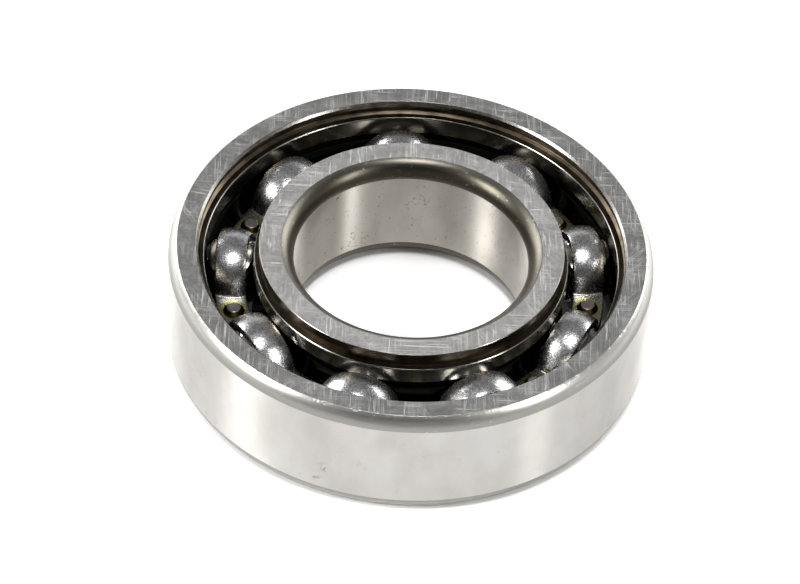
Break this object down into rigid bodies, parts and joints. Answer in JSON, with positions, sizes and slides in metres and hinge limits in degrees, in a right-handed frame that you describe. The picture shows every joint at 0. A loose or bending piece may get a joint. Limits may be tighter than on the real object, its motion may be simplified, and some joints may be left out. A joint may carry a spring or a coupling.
{
  "type": "ball bearing",
  "caption": "Open single-row deep-groove ball bearing with a riveted two-piece pressed-steel ribbon cage; empty shield grooves at both sides.",
  "frame": {"origin": "centre of the bearing, on its axis at half its width", "axes": "+Z along the bearing's axis; +X to the right in the view across the rings; the two sides are alike"},
  "size_m": [0.062, 0.062, 0.016],
  "materials": {
    "outer_ring_steel": "ground and polished bearing steel",
    "inner_ring_steel": "ground and polished bearing steel",
    "cage_steel": "tumbled bright pressed steel",
    "ball_steel": "mirror-lapped chrome steel",
    "rivet_steel": "plain formed steel, lightly oiled"
  },
  "bodies": {
    "outer_ring": {"outer_ring": "outer_ring_steel"},
    "inner_ring": {"inner_ring": "inner_ring_steel"},
    "cage": {"cage_upper": "cage_steel", "cage_lower": "cage_steel", "rivet_1": "rivet_steel", "rivet_2": "rivet_steel", "rivet_3": "rivet_steel", "rivet_4": "rivet_steel", "rivet_5": "rivet_steel", "rivet_6": "rivet_steel", "rivet_7": "rivet_steel", "rivet_8": "rivet_steel", "rivet_9": "rivet_steel"},
    "ball_1": {"ball_1": "ball_steel"},
    "ball_2": {"ball_2": "ball_steel"},
    "ball_3": {"ball_3": "ball_steel"},
    "ball_4": {"ball_4": "ball_steel"},
    "ball_5": {"ball_5": "ball_steel"},
    "ball_6": {"ball_6": "ball_steel"},
    "ball_7": {"ball_7": "ball_steel"},
    "ball_8": {"ball_8": "ball_steel"},
    "ball_9": {"ball_9": "ball_steel"}
  },
  "joints": [
    {"name": "inner_spin", "type": "hinge", "parent": "outer_ring", "child": "inner_ring", "pos_m": [0, 0, 0], "axis": [0, 0, 1], "continuous": true},
    {"name": "cage_spin", "type": "hinge", "parent": "outer_ring", "child": "cage", "pos_m": [0, 0, 0], "axis": [0, 0, 1], "continuous": true},
    {"name": "ball_1_spin", "type": "hinge", "parent": "cage", "child": "ball_1", "pos_m": [0.02211, 0.00634, 0], "axis": [0, 0, 1], "continuous": true},
    {"name": "ball_2_spin", "type": "hinge", "parent": "cage", "child": "ball_2", "pos_m": [0.01286, 0.01907, 0], "axis": [0, 0, 1], "continuous": true},
    {"name": "ball_3_spin", "type": "hinge", "parent": "cage", "child": "ball_3", "pos_m": [-0.0024, 0.02287, 0], "axis": [0, 0, 1], "continuous": true},
    {"name": "ball_4_spin", "type": "hinge", "parent": "cage", "child": "ball_4", "pos_m": [-0.01654, 0.01598, 0], "axis": [0, 0, 1], "continuous": true},
    {"name": "ball_5_spin", "type": "hinge", "parent": "cage", "child": "ball_5", "pos_m": [-0.02294, 0.0016, 0], "axis": [0, 0, 1], "continuous": true},
    {"name": "ball_6_spin", "type": "hinge", "parent": "cage", "child": "ball_6", "pos_m": [-0.01861, -0.01352, 0], "axis": [0, 0, 1], "continuous": true},
    {"name": "ball_7_spin", "type": "hinge", "parent": "cage", "child": "ball_7", "pos_m": [-0.00556, -0.02232, 0], "axis": [0, 0, 1], "continuous": true},
    {"name": "ball_8_spin", "type": "hinge", "parent": "cage", "child": "ball_8", "pos_m": [0.01008, -0.02067, 0], "axis": [0, 0, 1], "continuous": true},
    {"name": "ball_9_spin", "type": "hinge", "parent": "cage", "child": "ball_9", "pos_m": [0.02101, -0.00935, 0], "axis": [0, 0, 1], "continuous": true}
  ],
  "couplings": [
    {"joint": "cage_spin", "follows": "inner_spin", "ratio": 0.39647},
    {"joint": "ball_1_spin", "follows": "inner_spin", "ratio": -2.3112},
    {"joint": "ball_2_spin", "follows": "inner_spin", "ratio": -2.3112},
    {"joint": "ball_3_spin", "follows": "inner_spin", "ratio": -2.3112},
    {"joint": "ball_4_spin", "follows": "inner_spin", "ratio": -2.3112},
    {"joint": "ball_5_spin", "follows": "inner_spin", "ratio": -2.3112},
    {"joint": "ball_6_spin", "follows": "inner_spin", "ratio": -2.3112},
    {"joint": "ball_7_spin", "follows": "inner_spin", "ratio": -2.3112},
    {"joint": "ball_8_spin", "follows": "inner_spin", "ratio": -2.3112},
    {"joint": "ball_9_spin", "follows": "inner_spin", "ratio": -2.3112}
  ]
}
